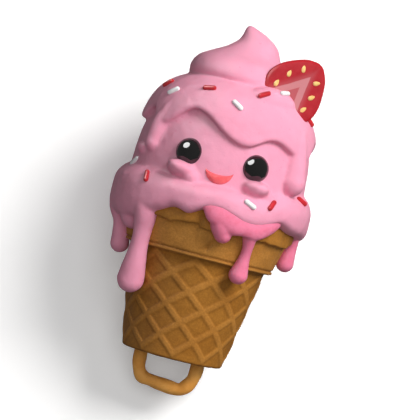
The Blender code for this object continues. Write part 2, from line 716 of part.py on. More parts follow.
def strand_matrices(tree):
    """Where the strands lie on the ice cream: those that show, then a scatter round the back."""
    rays = []
    for x, height, turn in SHOWN_STRANDS:
        rays.append((Vector((x, -0.1, height)), Vector((0, 1, 0)), turn))
    draw = random.Random(STRAND_SEED)
    for i in range(HIDDEN_STRANDS):
        angle = 105 + 150 * (i + 0.6 * draw.random()) / HIDDEN_STRANDS
        height = (0.0640, 0.0935, 0.0985)[i % 3] + 0.002 * draw.random()
        start = around(angle, 0.1, height)
        rays.append((start, Vector((-start.x, -start.y, 0)).normalized(), 180 * draw.random()))
    for start, heading, turn in rays:
        place, normal, _, _ = tree.ray_cast(start, heading)
        if place is None:
            continue
        across = Vector((0, 0, 1)).cross(normal).normalized()
        up = normal.cross(across)
        spin = math.radians(turn)
        lie = (across * math.cos(spin) + up * math.sin(spin)).normalized()
        side = normal.cross(lie)
        frame = Matrix((side, normal, lie)).transposed().to_4x4()
        yield Matrix.Translation(place + normal * 0.0002) @ frame


def add_strands(cream):
    graph = bpy.context.evaluated_depsgraph_get()
    tree = BVHTree.FromObject(cream, graph)
    gathered = bpy.data.collections.new("strands")
    bpy.context.scene.collection.children.link(gathered)
    for matrix in strand_matrices(tree):
        bm = bmesh.new()
        strand_mesh(bm, matrix)
        new_object("strand", bm, gathered)
    join = cream.modifiers.new("strands", "BOOLEAN")
    join.operation = "UNION"
    join.operand_type = "COLLECTION"
    join.collection = gathered
    join.solver = "MANIFOLD"
    baked(cream)
    for obj in list(gathered.objects):
        bpy.data.objects.remove(obj)
    bpy.data.collections.remove(gathered)


# Laying it down
def make_floor(cutters):
    """The surface it lies on, as a slab that trims a small flat where it rests."""
    bm = bmesh.new()
    size = 0.4
    lean = Matrix.Rotation(math.radians(-LIE_ANGLE), 4, "X")
    place = Matrix.Translation((0, FLOOR_AT_BASE, 0)) @ lean @ Matrix.Translation((0, size / 2, 0))
    bmesh.ops.create_cube(bm, size=size, matrix=place)
    return hide_cutter(new_object("floor", bm, cutters))


def lay_down(objects):
    """Turns everything onto its back and puts the origin under the middle of its box."""
    turn = Matrix.Rotation(math.radians(LIE_ANGLE - 90), 4, "X")
    for obj in objects:
        obj.data.transform(turn @ Matrix.Translation((0, -FLOOR_AT_BASE, 0)))
    points = [vert.co for obj in objects for vert in obj.data.vertices]
    low, high = (Vector([pick(p[i] for p in points) for i in range(3)]) for pick in (min, max))
    middle = Vector(((low.x + high.x) / 2, (low.y + high.y) / 2, low.z))
    for obj in objects:
        obj.data.transform(Matrix.Translation(-middle))


def clear_scene():
    for obj in list(bpy.data.objects):
        bpy.data.objects.remove(obj)


def finish(obj, colour_material, crease=40):
    obj.data.materials.clear()
    obj.data.materials.append(colour_material)
    obj.data.shade_smooth()
    obj.data.set_sharp_from_angle(angle=math.radians(crease))


def main():
    clear_scene()
    parts = bpy.data.collections.new("ice_cream_cone")
    cutters = bpy.data.collections.new("cutters")
    for collection in (parts, cutters):
        bpy.context.scene.collection.children.link(collection)

    cone = make_cone(parts)
    loop = make_loop(parts)
    cut(cone, make_sockets(cutters))
    floor = make_floor(cutters)
    cut(cone, floor)
    baked(cone)

    room = make_room_for_cone(cutters)
    sauce = melted("strawberry_sauce", sauce_shapes(parts), SAUCE_VOXEL, 4, SAUCE_TRIANGLES, parts)
    cut(sauce, room)
    baked(sauce)
    keep_largest_piece(sauce)

    berry, room_for_berry = make_berry(parts, cutters)
    beads = [make_bead("candy_bead_left", -1, parts), make_bead("candy_bead_right", 1, parts)]
    crescent = make_crescent(parts)

    cream = melted("ice_cream", cream_shapes(parts), CREAM_VOXEL, 7, CREAM_TRIANGLES, parts)
    add_strands(cream)
    for cutter in (room, floor, room_for_berry):
        cut(cream, cutter)
    for inlay in (sauce, *beads, crescent):
        cut(cream, grown(inlay, "room_for_" + inlay.name, GAP, cutters))
    baked(cream)
    keep_largest_piece(cream)

    finish(cone, material("wafer", (0.40, 0.19, 0.055), 0.75), crease=28)
    finish(loop, material("biscuit", (0.56, 0.27, 0.07), 0.55))
    finish(cream, material("strawberry_ice_cream", (0.95, 0.42, 0.55), 0.45))
    finish(sauce, material("strawberry_sauce", (0.85, 0.22, 0.33), 0.30))
    finish(berry, material("strawberry", (0.60, 0.04, 0.05), 0.35))
    black = material("black_candy", (0.008, 0.008, 0.008), 0.15)
    for bead in beads:
        finish(bead, black)
    finish(crescent, material("red_jelly", (0.75, 0.12, 0.16), 0.25))

    lay_down([cone, loop, cream, sauce, berry, *beads, crescent])


main()
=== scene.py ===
"""A strawberry ice cream in a flat-bottomed wafer cone, lying on its back on a pale table.

Everything is modelled standing, +Z up the cone and -Y towards the shown side, and then laid down
to where the frame has it. Angles round the cone are degrees from the front towards the right.
"""

import math
import random

import bpy
from mathutils import Matrix, Vector, noise
from mathutils.bvhtree import BVHTree


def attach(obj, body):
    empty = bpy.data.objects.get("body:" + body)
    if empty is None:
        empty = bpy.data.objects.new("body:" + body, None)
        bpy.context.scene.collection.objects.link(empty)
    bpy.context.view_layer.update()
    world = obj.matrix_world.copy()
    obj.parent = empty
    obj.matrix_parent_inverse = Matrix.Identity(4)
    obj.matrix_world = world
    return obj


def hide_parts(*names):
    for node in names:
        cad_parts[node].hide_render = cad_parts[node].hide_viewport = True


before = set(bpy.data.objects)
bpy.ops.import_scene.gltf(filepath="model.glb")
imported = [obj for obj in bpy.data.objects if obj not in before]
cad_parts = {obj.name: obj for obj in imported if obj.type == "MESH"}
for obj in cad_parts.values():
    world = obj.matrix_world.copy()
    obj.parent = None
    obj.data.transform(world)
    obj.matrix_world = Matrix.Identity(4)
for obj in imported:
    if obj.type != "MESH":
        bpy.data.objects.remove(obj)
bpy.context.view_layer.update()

# How it lies: leaning back on its roll of ice cream and on the edge of the cone's foot
LIE_ANGLE = 15.5
FLOOR_AT_BASE = 0.0185
SHIFT = (0.0001, -0.047488, 0.0)
LYING = (Matrix.Translation(SHIFT) @ Matrix.Rotation(math.radians(LIE_ANGLE - 90), 4, "X")
         @ Matrix.Translation((0, -FLOOR_AT_BASE, 0)))

# Wafer cone
BASE_RADIUS = 0.0183
NECK_RADIUS = 0.0248
NECK_HEIGHT = 0.0366
COLLAR_FOOT_RADIUS = 0.0275
COLLAR_FOOT_HEIGHT = 0.0372
COLLAR_TOP_RADIUS = 0.0300
LIP_RADIUS = 0.0319
LIP_TOP_HEIGHT = 0.0545
LIP_INNER_RADIUS = 0.0284
LIP_EDGE = [  # (angle, height) of the lip's broken lower edge
    (-180, 0.0476), (-150, 0.0486), (-120, 0.0474), (-80, 0.0482), (-45, 0.0488), (-28, 0.0476),
    (-14, 0.0481), (-4.5, 0.0490), (-3.0, 0.0476), (10, 0.0470), (25, 0.0478), (45, 0.0480),
    (65, 0.0474), (85, 0.0492), (110, 0.0484), (145, 0.0472), (180, 0.0476),
]
DIAMONDS_AROUND = 10
DIAMONDS_UP = 3
DIAMOND_HEIGHT = 0.01115
LATTICE_START = 0.0022
LATTICE_RADIUS = 0.0214
RIDGE_HALF_WIDTH = 0.0009
RIDGE_SLOPE = 0.0006
RIDGE_HEIGHT = 0.00032
CONE_SEGMENTS = 360
WALL_STEPS = 108
COLLAR_STEPS = 18
WALL_FOOT = 0.0007
FOOT_EDGE = [(0.0, 0.0009), (0.00006, 0.0004), (0.0003, 0.0001)]  # (height, in from its radius)
UNDERSIDE_START = 0.0006  # how far out the undersides of the collar and the lip start
COLLAR_EDGE = [  # (up, out) from the collar's foot: a rounded edge and the groove above it
    (-0.0001, -0.0006), (0.0001, -0.00015), (0.0004, 0.0), (0.0008, 0.0), (0.00105, -0.0002),
    (0.0012, -0.0005), (0.0014, -0.00035), (0.0018, 0.0001),
]
LIP_LOWER_EDGE = [(0.0, -0.0006), (0.0002, -0.00025), (0.0006, -0.00005)]  # (up, out) from the lip
LIP_TOP_EDGE = [(-0.0006, -0.0001), (-0.0001, -0.0006), (0.0, -0.0012)]
LIP_INNER_EDGE = [(0.0, 0.0008), (-0.0003, 0.0002), (-0.0010, 0.0)]
LIP_CHIPS = [(9, 3.1, 0.00045), (3, 7.7, 0.0003)]  # (degrees across, row of the noise, depth)
LIP_WAVES = [(14, 1.3, 0.0004), (4, 9.3, 0.0002)]
LIP_WOBBLE = 0.0002
NOTCH_ANGLE = -3.6
NOTCH_HALF_WIDTH = 1.0
NOTCH_DEPTH = 0.0007
CRACK_ANGLE = 4.4
CRACK_HEIGHT = 0.0402
CRACK_SLANT = 1000  # degrees to a metre of height
CRACK_HALF_WIDTH = 1.3
CRACK_DEPTH = 0.0009
CRACK_ENDS = [(0.0395, 0.0415), (0.0455, 0.0440)]  # heights where it ends, and where it is open
SHELL_THICKNESS = 0.0025
FLOOR_THICKNESS = 0.0035
LINE_HALF_HEIGHT = 0.0004
GROOVE_RISE = 0.0011
WAFER_GRAIN = [(0.0110, 0.00010), (0.0038, 0.00008)]  # (metres across, depth)
TONE_AND_PAINTED_LIGHT_AND_SHADE = {"ridge": 0.55, "lip": 0.3, "collar": 1.0}  # share of the lighter of the baked colours: the ridges' own lighter tone, painted light on the collar that lifts the cream's shadow, and painted shade on the lip under the cream's edge
# Darkening of the wafer: the patches are its own browning, while the collar's groove, the neck
# under the collar and the lines beside each ridge are painted shade; the foot's edge is darker too
BROWNED_AND_PAINTED_SHADE = {"foot": 0.5, "groove": 0.6, "neck": 0.35, "patches": 0.175, "beside a ridge": 0.20}

# Biscuit loop
LOOP_THICKNESS = 0.0048
LOOP_DEPTH = 0.0110
LOOP_HALF_WIDTH = 0.0105
SOCKET_DEPTH = 0.0022
LOOP_STEPS = 60
LOOP_SQUARENESS = 0.62
LOOP_SWAY = 0.0005
LOOP_TAPER = 0.05

# Ice cream
BODY_PROFILE = [  # (height, radius) up the middle of the scoop
    (0.0500, 0.0260), (0.0550, 0.0305), (0.0620, 0.0314), (0.0700, 0.0313), (0.0760, 0.0308),
    (0.0810, 0.0298), (0.0850, 0.0284), (0.0900, 0.0262), (0.0950, 0.0225), (0.0990, 0.0160),
    (0.1005, 0.0080), (0.1010, 0.0000),
]
CAP_PROFILE = [  # (height, radius) of the layer that has run down over the scoop
    (0.0760, 0.0330), (0.0800, 0.0327), (0.0840, 0.0318), (0.0880, 0.0308), (0.0920, 0.0290),
    (0.0955, 0.0264), (0.0985, 0.0228), (0.1010, 0.0180), (0.1022, 0.0100), (0.1025, 0.0000),
]
CAP_EDGE = [  # (angle, height) of the crests and troughs of the cap's wavy lower edge
    (-180, 0.0800), (-152, 0.0865), (-126, 0.0795), (-101, 0.0862), (-84, 0.0805), (-66, 0.0850),
    (-50, 0.0795), (-26, 0.0872), (11, 0.0786), (32, 0.0830), (59, 0.0785), (84, 0.0862),
    (112, 0.0822), (131, 0.0868), (156, 0.0805), (180, 0.0800),
]
CAP_ROUNDING = 0.0016
TIER_PROFILE = [  # (height, radius, shift to the right, shift to the front) of the swirl on top
    (0.0950, 0.0120, -0.0010, 0.000), (0.0985, 0.0170, -0.0016, 0.000),
    (0.1015, 0.0186, -0.0014, 0.001), (0.1048, 0.0182, -0.0010, 0.001),
    (0.1080, 0.0162, -0.0006, 0.001), (0.1105, 0.0132, 0.0000, 0.000),
    (0.1130, 0.0100, 0.0012, 0.000), (0.1160, 0.0074, 0.0020, 0.000),
    (0.1188, 0.0052, 0.0010, 0.000), (0.1210, 0.0030, -0.0008, 0.000),
    (0.1226, 0.0000, -0.0024, 0.000),
]
SKIRT_RADIUS = 0.0275
SKIRT_THICKNESS = 0.0085
SKIRT_TOP = 0.0085
SKIRT_TOP_DIP = 0.36  # how much less of it there is at the front
SKIRT_DIP_ANGLE = 5
SKIRT_DIP_HALF_WIDTH = 38
SKIRT_SWELLS = [(4, 0.5, 0.04), (7, 1, 0.03)]  # (swells round it, their shift, share of its depth)
SKIRT_REACH = 0.9  # how much of its lower half is seen below the middle
SKIRT_EDGE = [  # (angle, middle height, height of the lower edge) of the roll over the lip
    (-180, 0.0580, 0.0510), (-150, 0.0582, 0.0522), (-120, 0.0576, 0.0500), (-98, 0.0568, 0.0482),
    (-80, 0.0564, 0.0464), (-62, 0.0562, 0.0458), (-50, 0.0564, 0.0466), (-41, 0.0568, 0.0488),
    (-29, 0.0570, 0.0510), (-22, 0.0572, 0.0526), (-12, 0.0575, 0.0520), (-5, 0.0580, 0.0542),
    (1, 0.0584, 0.0553), (9, 0.0584, 0.0548), (18, 0.0578, 0.0531), (25, 0.0577, 0.0524),
    (31, 0.0578, 0.0526), (39, 0.0586, 0.0542), (47, 0.0594, 0.0557), (58, 0.0592, 0.0540),
    (67, 0.0592, 0.0534), (78, 0.0600, 0.0532), (100, 0.0598, 0.0516), (130, 0.0590, 0.0522),
    (155, 0.0582, 0.0505), (180, 0.0580, 0.0510),
]
PUFFS = [  # (to the right, height, half width, half height, half depth, tip, sag) of soft folds
    (-0.0130, 0.0665, 0.0052, 0.0024, 0.0062, 6, 1.5),
    (-0.0092, 0.0638, 0.0034, 0.0028, 0.0030, 0, 1.0),
    (0.0134, 0.0660, 0.0053, 0.0024, 0.0060, 0, 1.5),
    (0.0172, 0.0636, 0.0040, 0.0026, 0.0032, 0, 1.0),
]
PUFF_DEPTH = 0.0308
SIDE_FOLD = (-65, 0.0310, 0.0702)  # (angle, radius, height)
SIDE_FOLD_SIZE = (0.0032, 0.0022, 0.0024)  # half width, half height, half depth
BERRY_BED = (0.0114, -0.0165, 0.0958)
BERRY_BED_SIZE = (0.0106, 0.0062, 0.0064)
CREAM_DRIPS = [  # each is a list of (angle, radius, height, thickness radius), top to bottom
    [(57, 0.0268, 0.0880, 0.0040), (56, 0.0288, 0.0825, 0.0042), (55, 0.0306, 0.0770, 0.0043),
     (54, 0.0317, 0.0708, 0.0046)],
    [(-46, 0.0262, 0.0885, 0.0042), (-50, 0.0280, 0.0838, 0.0042), (-53, 0.0299, 0.0785, 0.0038),
     (-54, 0.0309, 0.0726, 0.0032)],
    [(-78, 0.0290, 0.0590, 0.0060), (-79, 0.0318, 0.0500, 0.0042), (-80, 0.0296, 0.0425, 0.0032),
     (-80, 0.0285, 0.0350, 0.0035)],
    [(-52, 0.0290, 0.0590, 0.0060), (-44, 0.0310, 0.0500, 0.0048), (-44, 0.0303, 0.0420, 0.0034),
     (-46, 0.0290, 0.0330, 0.0035), (-50, 0.0272, 0.0238, 0.0046)],
    [(-65, 0.0285, 0.0590, 0.0075), (-64, 0.0290, 0.0515, 0.0064), (-62, 0.0286, 0.0460, 0.0050)],
    [(138, 0.0330, 0.0590, 0.0060), (139, 0.0330, 0.0505, 0.0038), (140, 0.0306, 0.0435, 0.0032)],
    [(-130, 0.0330, 0.0590, 0.0060), (-129, 0.0330, 0.0505, 0.0036),
     (-128, 0.0303, 0.0405, 0.0033)],
]
CREAM_VOXEL = 0.00054
CREAM_GRAIN = [(0.0115, 0.00042), (0.0032, 0.00011)]  # (metres across, depth)

# Strawberry sauce
SAUCE_BAND = [  # (angle, radius, height, thickness radius)
    (-8, 0.0342, 0.0566, 0.0010), (-4, 0.0343, 0.0560, 0.0015), (0, 0.0342, 0.0552, 0.0030),
    (4, 0.0341, 0.0540, 0.0040), (9, 0.0340, 0.0530, 0.0042), (16, 0.0340, 0.0517, 0.0040),
    (23, 0.0339, 0.0515, 0.0033), (31, 0.0338, 0.0513, 0.0034), (39, 0.0334, 0.0535, 0.0032),
    (45, 0.0330, 0.0556, 0.0028), (51, 0.0324, 0.0580, 0.0022), (60, 0.0315, 0.0578, 0.0022),
    (72, 0.0308, 0.0570, 0.0024), (92, 0.0310, 0.0550, 0.0026),
]
SAUCE_DRIPS = [
    [(7, 0.0325, 0.0535, 0.0036), (9.5, 0.0322, 0.0500, 0.0038), (12, 0.0318, 0.0473, 0.0032)],
    [(29, 0.0322, 0.0515, 0.0036), (31.2, 0.0313, 0.0458, 0.0021), (32.2, 0.0300, 0.0410, 0.0021),
     (32.4, 0.0288, 0.0350, 0.0035)],
    [(92, 0.0315, 0.0550, 0.0030), (94, 0.0318, 0.0490, 0.0024), (96, 0.0314, 0.0425, 0.0033)],
]
SAUCE_VOXEL = 0.00035

# Strawberry slice: (half width, distance from the stem end)
BERRY_OUTLINE = [
    (0.0000, 0.0000), (0.0062, 0.0012), (0.0103, 0.0053), (0.0115, 0.0096), (0.0102, 0.0148),
    (0.0060, 0.0212), (0.0025, 0.0240), (0.0000, 0.0248),
]
BERRY_THICKNESS = 0.0032
BERRY_BASE = (0.01285, -0.0165, 0.0938)
BERRY_LEAN = 35.3
BERRY_TURN = 20
BERRY_TILT_BACK = 6
BERRY_SEEDS = [  # (to the side, from the stem end, tip) of each seed
    (-0.0069, 0.0071, 12), (-0.0063, 0.0131, 22), (-0.0039, 0.0183, 35),
    (0.0032, 0.0187, -35), (0.0057, 0.0138, -22), (0.0068, 0.0086, -12),
]

# Candy on the front
BEAD_RADIUS = 0.0050
BEADS = {"left": (-0.0116, 0.0722), "right": (0.0116, 0.0722)}  # (to the right, height)
BEAD_DEPTH = 0.0296
CRESCENT_HALF_WIDTH = 0.0050
CRESCENT_HEIGHT = 0.0688
CRESCENT_DROP = 0.0052
CRESCENT_DIP = 0.0018
CRESCENT_THICKNESS = 0.0026
CRESCENT_DEPTH = 0.0310

# Sugar strands: (to the right, height, turn in the front view, red or not)
STRAND_LENGTH = 0.0050
STRAND_RADIUS = 0.0009
SHOWN_STRANDS = [
    (-0.0253, 0.0942, 45, True), (-0.0226, 0.0917, 41, False), (-0.0106, 0.0955, 15, True),
    (0.0084, 0.0981, 32, True), (0.0003, 0.0920, -35, False), (-0.0298, 0.0645, 45, False),
    (-0.0241, 0.0603, -65, True), (0.0131, 0.0596, -26, False), (0.0206, 0.0612, 55, True),
    (0.0308, 0.0653, -34, True), (0.0153, 0.1005, 15, False), (0.0262, 0.0938, -60, True),
]
HIDDEN_STRANDS = 9
HIDDEN_HEIGHTS = (0.0640, 0.0935, 0.0985)
STRAND_SEED = 7

# Camera: square to the cone, rolled so that the cone leans
LENS = 200.0
SENSOR = 36
SHOWN_WIDTH = 0.1512
CAMERA_LEAN = 14.6
CAMERA_AIM = (0.0002, 0.0544)  # (to the right, height)

# Light
LIGHT_AIM = (0, 0, 0.060)
ROOM_STRENGTH = 0.16
TABLE_GLOW = 0.18


def around(angle, radius, height):
    turn = math.radians(angle)
    return Vector((radius * math.sin(turn), -radius * math.cos(turn), height))


def angle_of(point):
    return math.degrees(math.atan2(point.x, -point.y))


def on_scoop(x, height, radius):
    return Vector((x, -math.sqrt(radius ** 2 - x ** 2), height))


def on_ball(share, angle, sag=1.0):
    """A point of a ball of radius 1 whose lower half is drawn down by sag."""
    rise = math.pi * (share - 0.5)
    turn = math.radians(angle)
    up = math.sin(rise) * (sag if rise < 0 else 1)
    return Vector((math.cos(rise) * math.sin(turn), -math.cos(rise) * math.cos(turn), up))


def curve_through(p0, p1, p2, p3, t):
    """The place between p1 and p2 on the smooth curve through all four."""
    return 0.5 * (2 * p1 + (p2 - p0) * t + (2 * p0 - 5 * p1 + 4 * p2 - p3) * t ** 2
                  + (3 * p1 - 3 * p2 + p3 - p0) * t ** 3)


def smoothly_between(rows, x):
    """The other columns of a sorted table at x, by a smooth curve through its rows."""
    x = min(max(x, rows[0][0]), rows[-1][0])
    last = max(i for i, row in enumerate(rows[:-1]) if row[0] <= x)
    before, a, b, after = (rows[min(max(i, 0), len(rows) - 1)] for i in range(last - 1, last + 3))
    t = (x - a[0]) / (b[0] - a[0])
    return [curve_through(*columns, t) for columns in list(zip(before, a, b, after))[1:]]


def wave_between(table, angle):
    for (a, low), (b, high) in zip(table, table[1:]):
        if a <= angle <= b:
            share = (1 - math.cos(math.pi * (angle - a) / (b - a))) / 2
            return low + (high - low) * share
    return table[-1][1]


def along(profile, share):
    numbered = [(i / (len(profile) - 1), *row) for i, row in enumerate(profile)]
    return smoothly_between(numbered, share)


def ramp(low, high, x):
    """0 below low, 1 above high, and eased between."""
    t = min(max((x - low) / (high - low), 0.0), 1.0)
    return t * t * (3 - 2 * t)


def peak(x, half_width):
    """1 at 0, falling off to both sides."""
    return math.exp(-(x / half_width) ** 2)


def uneven(angle, layers):
    """Noise round the cone, in layers of (degrees across, row of the noise, depth)."""
    return sum(depth * noise.noise(Vector((angle / across, row, 0)))
               for across, row, depth in layers)


# Modelling with Blender's own tools
def pick_only(*objs):
    bpy.ops.object.select_all(action="DESELECT")
    for obj in objs:
        obj.select_set(True)
    if objs:
        bpy.context.view_layer.objects.active = objs[0]


def named(name):
    obj = bpy.context.object
    obj.name = name
    obj.data.name = name
    return obj


def apply_modifiers(obj):
    pick_only(obj)
    for modifier in list(obj.modifiers):
        bpy.ops.object.modifier_apply(modifier=modifier.name)


def joined(name, objs):
    pick_only(*objs)
    if len(objs) > 1:
        bpy.ops.object.join()
    return named(name)


def ball(name, segments, rings, place):
    """A sphere whose points go where place(share of the way up, angle) says."""
    pick_only()
    bpy.ops.mesh.primitive_uv_sphere_add(segments=segments, ring_count=rings, radius=1)
    obj = named(name)
    for vert in obj.data.vertices:
        ring = round(rings * (0.5 + math.asin(max(-1.0, min(1.0, vert.co.z))) / math.pi))
        vert.co = place(ring / rings, angle_of(vert.co))
    return obj


def face_outwards(obj):
    pick_only(obj)
    bpy.ops.object.mode_set(mode="EDIT")
    bpy.ops.mesh.select_all(action="SELECT")
    bpy.ops.mesh.normals_make_consistent(inside=False)
    bpy.ops.object.mode_set(mode="OBJECT")


def melted(name, shapes, voxel, smoothing):
    """Melts overlapping closed shapes into one skin."""
    obj = joined(name, shapes)
    face_outwards(obj)
    melt = obj.modifiers.new("melt", "REMESH")
    melt.mode = "VOXEL"
    melt.voxel_size = voxel
    soften = obj.modifiers.new("soften", "SMOOTH")
    soften.factor = 0.5
    soften.iterations = smoothing
    apply_modifiers(obj)
    return obj


def roughen(obj, *layers):
    """Pushes the skin in and out by noise, in layers of (metres across, depth in metres)."""
    normals = [vert.normal.copy() for vert in obj.data.vertices]
    for vert, normal in zip(obj.data.vertices, normals):
        vert.co += normal * sum(depth * noise.noise(vert.co / size) for size, depth in layers)


def lay_down(obj):
    """Lays a standing piece down, and flattens what would go through the table."""
    obj.data.transform(LYING)
    for vert in obj.data.vertices:
        vert.co.z = max(vert.co.z, 0.0)
    obj.data.shade_smooth()
    return obj


def belongs(obj, material, slot, *nodes):
    obj.data.materials.clear()
    obj.data.materials.append(material)
    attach(obj, "root")
    if nodes:
        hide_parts(*nodes)
    return obj


# Materials
class Finish:
    """A Principled material on Object coordinates, and short ways to add what varies over it."""

    def __init__(self, name, roughness, **constants):
        self.material = bpy.data.materials.new(name)
        self.material.use_nodes = True
        self.tree = self.material.node_tree
        self.shader = self.tree.nodes["Principled BSDF"]
        self.shader.inputs["Roughness"].default_value = roughness
        for socket, value in constants.items():
            self.shader.inputs[socket.replace("_", " ")].default_value = value
        self.place = self.tree.nodes.new("ShaderNodeTexCoord").outputs["Object"]

    def node(self, kind, **settings):
        made = self.tree.nodes.new(kind)
        for key, value in settings.items():
            setattr(made, key, value)
        return made

    def link(self, out, into):
        self.tree.links.new(out, into)

    def noise(self, size, detail=3.0, rough=0.55):
        """Noise whose blobs are about this many metres across."""
        made = self.node("ShaderNodeTexNoise")
        made.inputs["Scale"].default_value = 1 / size
        made.inputs["Detail"].default_value = detail
        made.inputs["Roughness"].default_value = rough
        self.link(self.place, made.inputs["Vector"])
        return made.outputs["Fac"]

    def attribute(self, name):
        return self.node("ShaderNodeAttribute", attribute_name=name)

    def spread(self, value, low, high, to_low=0.0, to_high=1.0):
        made = self.node("ShaderNodeMapRange", interpolation_type="SMOOTHSTEP")
        limits = {"From Min": low, "From Max": high, "To Min": to_low, "To Max": to_high}
        for socket, number in limits.items():
            made.inputs[socket].default_value = number
        self.link(value, made.inputs["Value"])
        return made.outputs["Result"]

    def math(self, operation, a, b=None):
        made = self.node("ShaderNodeMath", operation=operation)
        for i, value in enumerate((a, b)):
            if isinstance(value, (int, float)):
                made.inputs[i].default_value = value
            elif value is not None:
                self.link(value, made.inputs[i])
        return made.outputs[0]

    def blend(self, share, a, b, way="MIX"):
        made = self.node("ShaderNodeMix", data_type="RGBA", blend_type=way)
        for socket, value in ((0, share), (6, a), (7, b)):
            if isinstance(value, (int, float)):
                made.inputs[socket].default_value = value
            elif isinstance(value, tuple):
                made.inputs[socket].default_value = (*value, 1)
            else:
                self.link(value, made.inputs[socket])
        return made.outputs[2]

    def colour(self, value):
        self.link(value, self.shader.inputs["Base Color"])

    def roughness(self, value):
        self.link(value, self.shader.inputs["Roughness"])

    def bumps(self, *layers):
        """Relief from (height, depth in metres) layers, finest last."""
        normal = None
        for height, depth in layers:
            made = self.node("ShaderNodeBump")
            made.inputs["Strength"].default_value = 1
            made.inputs["Distance"].default_value = depth
            self.link(height, made.inputs["Height"])
            if normal:
                self.link(normal, made.inputs["Normal"])
            normal = made.outputs["Normal"]
        self.link(normal, self.shader.inputs["Normal"])


def strawberry_ice_cream():
    f = Finish("strawberry ice cream", 0.52, Subsurface_Weight=0.15, Subsurface_Scale=0.0022,
               Subsurface_Radius=(1.0, 0.45, 0.5), Specular_IOR_Level=0.25)
    milky = f.spread(f.noise(0.012, 2, 0.5), 0.35, 0.65)
    base = f.blend(milky, (0.76, 0.300, 0.420), (0.79, 0.325, 0.450))
    fruit = f.spread(f.noise(0.0016, 2, 0.6), 0.66, 0.74)
    f.colour(f.blend(f.math("MULTIPLY", fruit, 0.35), base, (0.70, 0.185, 0.30)))
    f.roughness(f.spread(f.noise(0.004, 3), 0.3, 0.7, 0.46, 0.60))
    f.bumps((f.noise(0.0022, 3, 0.5), 0.00012), (f.noise(0.00045, 2, 0.6), 0.00003))
    return f.material


def strawberry_sauce():
    f = Finish("strawberry sauce", 0.34, Subsurface_Weight=0.15, Subsurface_Scale=0.002,
               Subsurface_Radius=(1.0, 0.3, 0.35), Specular_IOR_Level=0.4, Coat_Weight=0.1,
               Coat_Roughness=0.15)
    pulp = f.spread(f.noise(0.003, 3, 0.6), 0.35, 0.7)
    f.colour(f.blend(pulp, (0.78, 0.205, 0.325), (0.72, 0.170, 0.275)))
    f.bumps((f.noise(0.0018, 2, 0.5), 0.00010))
    return f.material


def baked_wafer():
    f = Finish("baked wafer", 0.72, Specular_IOR_Level=0.15)
    ridge = f.attribute("ridge").outputs["Fac"]
    browned_and_painted_shade = f.attribute("browned_and_painted_shade").outputs["Fac"]
    blotch = f.spread(f.noise(0.009, 3, 0.6), 0.3, 0.7)
    low = f.blend(blotch, (0.305, 0.122, 0.019), (0.355, 0.150, 0.025))
    high = f.blend(blotch, (0.430, 0.184, 0.037), (0.490, 0.220, 0.048))
    # The lighter colour is the ridges' own tone; on the collar it is painted light against the
    # cream's shadow, and the lip's smaller share of it is painted shade
    colour = f.blend(ridge, low, high)
    # The dark colour is the wafer's own browning in patches, and painted shade in the collar's
    # groove, along the neck and beside each ridge; it also darkens the foot's edge
    colour = f.blend(browned_and_painted_shade, colour, (0.165, 0.062, 0.012))
    crumb = f.spread(f.noise(0.0007, 3, 0.7), 0.35, 0.7, 0.88, 1.10)
    shade = f.node("ShaderNodeCombineColor")
    for i in range(3):
        f.link(crumb, shade.inputs[i])
    f.colour(f.blend(1.0, colour, shade.outputs[0], "MULTIPLY"))
    f.roughness(f.spread(f.noise(0.002, 3), 0.3, 0.7, 0.62, 0.82))
    f.bumps((f.noise(0.0025, 4, 0.6), 0.00015), (f.noise(0.0005, 3, 0.7), 0.00007))
    return f.material


def baked_biscuit():
    f = Finish("baked biscuit", 0.55, Specular_IOR_Level=0.2)
    blotch = f.spread(f.noise(0.006, 3, 0.6), 0.3, 0.7)
    colour = f.blend(blotch, (0.76, 0.325, 0.064), (0.88, 0.43, 0.105))
    crumb = f.spread(f.noise(0.0007, 3, 0.7), 0.62, 0.74, 0.0, 0.35)
    f.colour(f.blend(crumb, colour, (0.26, 0.10, 0.02)))
    f.roughness(f.spread(f.noise(0.002, 3), 0.3, 0.7, 0.42, 0.62))
    f.bumps((f.noise(0.003, 3, 0.5), 0.00020), (f.noise(0.0005, 3, 0.7), 0.00006))
    return f.material


def cut_strawberry():
    f = Finish("cut strawberry", 0.42, Subsurface_Weight=0.06, Subsurface_Scale=0.001,
               Subsurface_Radius=(1.0, 0.25, 0.2), Specular_IOR_Level=0.3)
    f.place = f.attribute("slice_place").outputs["Vector"]
    parts = f.node("ShaderNodeSeparateXYZ")
    f.link(f.place, parts.inputs[0])
    side = f.math("ABSOLUTE", parts.outputs["X"])
    rim = f.attribute("rim").outputs["Fac"]
    # The pale pith is a V with its point towards the tip
    vee = f.math("ADD", f.math("MULTIPLY", side, 2.15), parts.outputs["Y"])
    vee = f.math("ADD", vee, f.math("MULTIPLY", f.math("SUBTRACT", f.noise(0.004, 2), 0.5), 0.0010))
    band = f.math("MULTIPLY", f.spread(vee, 0.0126, 0.0132), f.spread(vee, 0.0189, 0.0183))
    heart = f.spread(vee, 0.0132, 0.0122)
    mottle = f.spread(f.noise(0.003, 3), 0.3, 0.7)
    flesh = f.blend(mottle, (0.34, 0.016, 0.024), (0.38, 0.024, 0.032))
    flesh = f.blend(f.spread(vee, 0.0245, 0.0180, 0.0, 0.8), flesh, (0.38, 0.070, 0.082))
    flesh = f.blend(heart, flesh, (0.40, 0.085, 0.100))
    flesh = f.blend(f.math("MULTIPLY", band, 0.9), flesh, (0.50, 0.195, 0.210))
    f.colour(f.blend(rim, flesh, (0.44, 0.008, 0.016)))
    f.bumps((f.noise(0.0012, 3), 0.00008))
    return f.material


def seed_finish():
    f = Finish("strawberry seeds", 0.4)
    f.colour(f.blend(f.noise(0.001, 2), (0.60, 0.36, 0.10), (0.86, 0.62, 0.24)))
    return f.material


def black_candy():
    f = Finish("black candy", 0.06, IOR=1.75)
    f.colour(f.blend(f.noise(0.004, 2), (0.0035, 0.0033, 0.0033), (0.006, 0.0055, 0.0055)))
    f.bumps((f.noise(0.003, 1), 0.00001))
    return f.material


